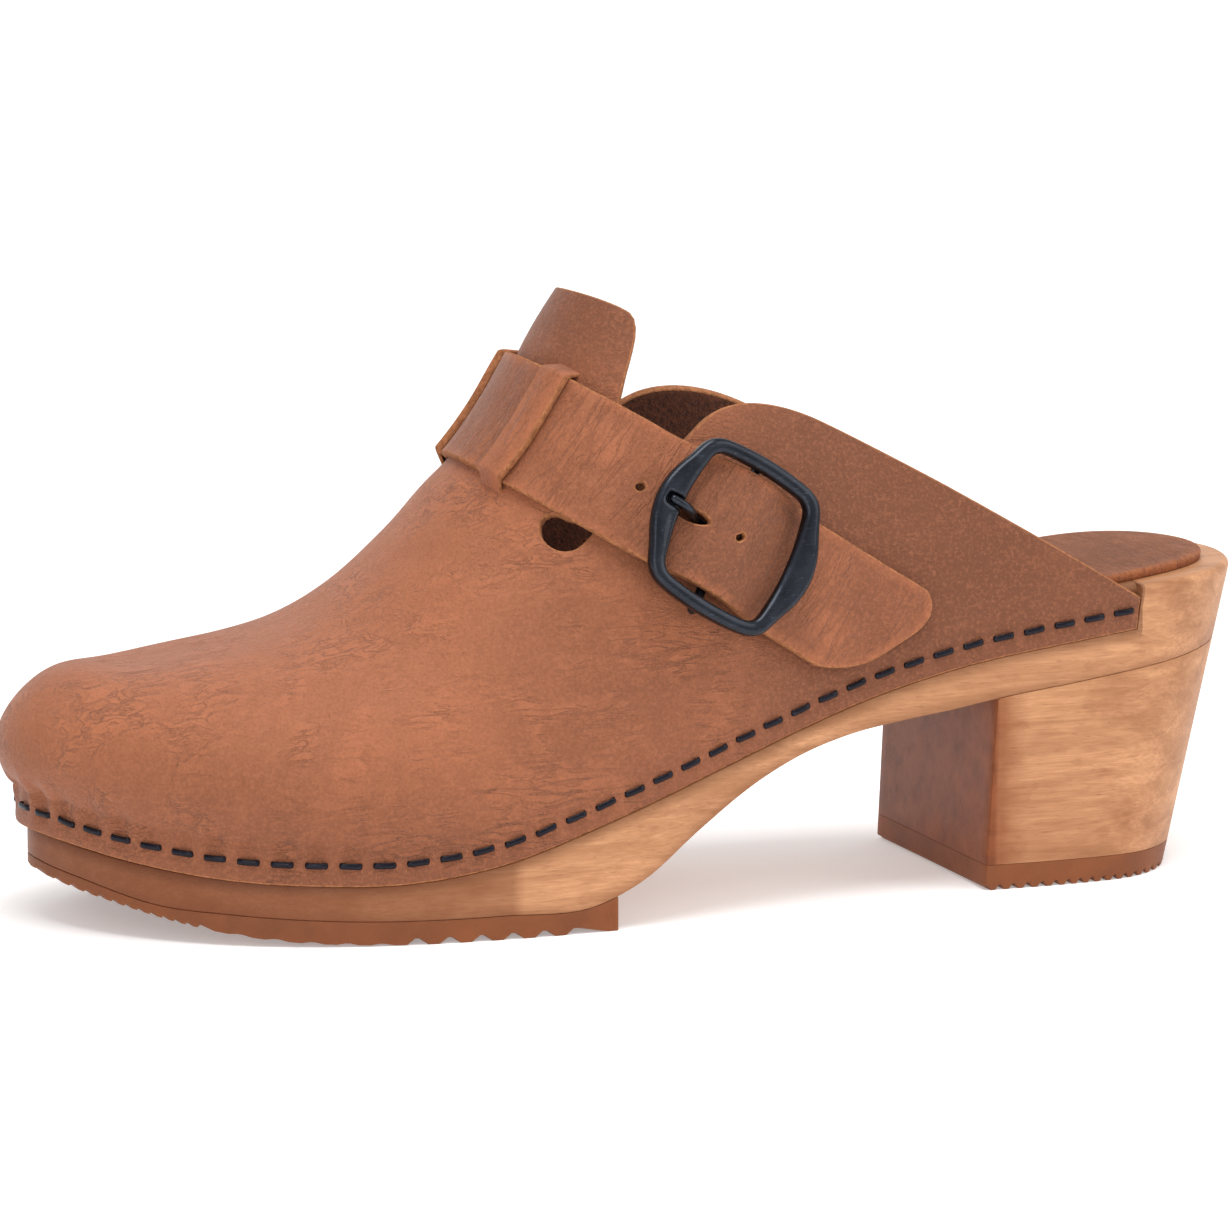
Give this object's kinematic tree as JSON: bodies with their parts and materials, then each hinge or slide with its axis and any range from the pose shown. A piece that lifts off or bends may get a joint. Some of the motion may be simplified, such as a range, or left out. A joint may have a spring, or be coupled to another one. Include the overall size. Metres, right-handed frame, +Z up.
{
  "type": "wooden clog",
  "caption": "Backless women's clog for the left foot: wood sole with block heel, stapled leather upper, instep strap with centre-bar buckle.",
  "frame": {"origin": "on the floor, under the middle of the shoe's bounding box", "axes": "+X from toe to heel, +Y to the inner side of the left foot, +Z up"},
  "size_m": [0.2506, 0.0874, 0.1182],
  "materials": {
    "wood": "oiled, fine straight grain",
    "leather": "oiled nubuck, matt",
    "pad_leather": "smooth, worn matt",
    "rubber": "matt gum rubber",
    "gunmetal": "blackened, satin",
    "staple_steel": "lacquered dark wire",
    "steel": "zinc plated"
  },
  "bodies": {
    "clog": {"buckle_tab": "leather", "heel_block": "wood", "heel_pad": "pad_leather", "heel_screw_1": "steel", "heel_screw_2": "steel", "heel_screw_3": "steel", "heel_top_lift": "rubber", "staple_01": "staple_steel", "staple_02": "staple_steel", "staple_03": "staple_steel", "staple_04": "staple_steel", "staple_05": "staple_steel", "staple_06": "staple_steel", "staple_07": "staple_steel", "staple_08": "staple_steel", "staple_09": "staple_steel", "staple_10": "staple_steel", "staple_11": "staple_steel", "staple_12": "staple_steel", "staple_13": "staple_steel", "staple_14": "staple_steel", "staple_15": "staple_steel", "staple_16": "staple_steel", "staple_17": "staple_steel", "staple_18": "staple_steel", "staple_19": "staple_steel", "staple_20": "staple_steel", "staple_21": "staple_steel", "staple_22": "staple_steel", "staple_23": "staple_steel", "staple_24": "staple_steel", "staple_25": "staple_steel", "staple_26": "staple_steel", "staple_27": "staple_steel", "staple_28": "staple_steel", "staple_29": "staple_steel", "staple_30": "staple_steel", "staple_31": "staple_steel", "staple_32": "staple_steel", "staple_33": "staple_steel", "staple_34": "staple_steel", "staple_35": "staple_steel", "staple_36": "staple_steel", "staple_37": "staple_steel", "staple_38": "staple_steel", "strap": "leather", "tab_rivet_1": "steel", "tab_rivet_2": "steel", "toe_outsole": "rubber", "upper": "leather", "wood_sole": "wood"},
    "buckle": {"buckle_frame": "gunmetal"},
    "prong": {"buckle_prong": "gunmetal"}
  },
  "joints": [
    {"name": "buckle_tilt", "type": "hinge", "parent": "clog", "child": "buckle", "pos_m": [0.00711, -0.03347, 0.0733], "axis": [0.5226, 0.2604, 0.8119], "range_deg": [-2, 2]},
    {"name": "prong_swing", "type": "hinge", "parent": "buckle", "child": "prong", "pos_m": [0.00711, -0.03347, 0.0733], "axis": [0.5226, 0.2604, 0.8119], "range_deg": [0, 4]}
  ]
}
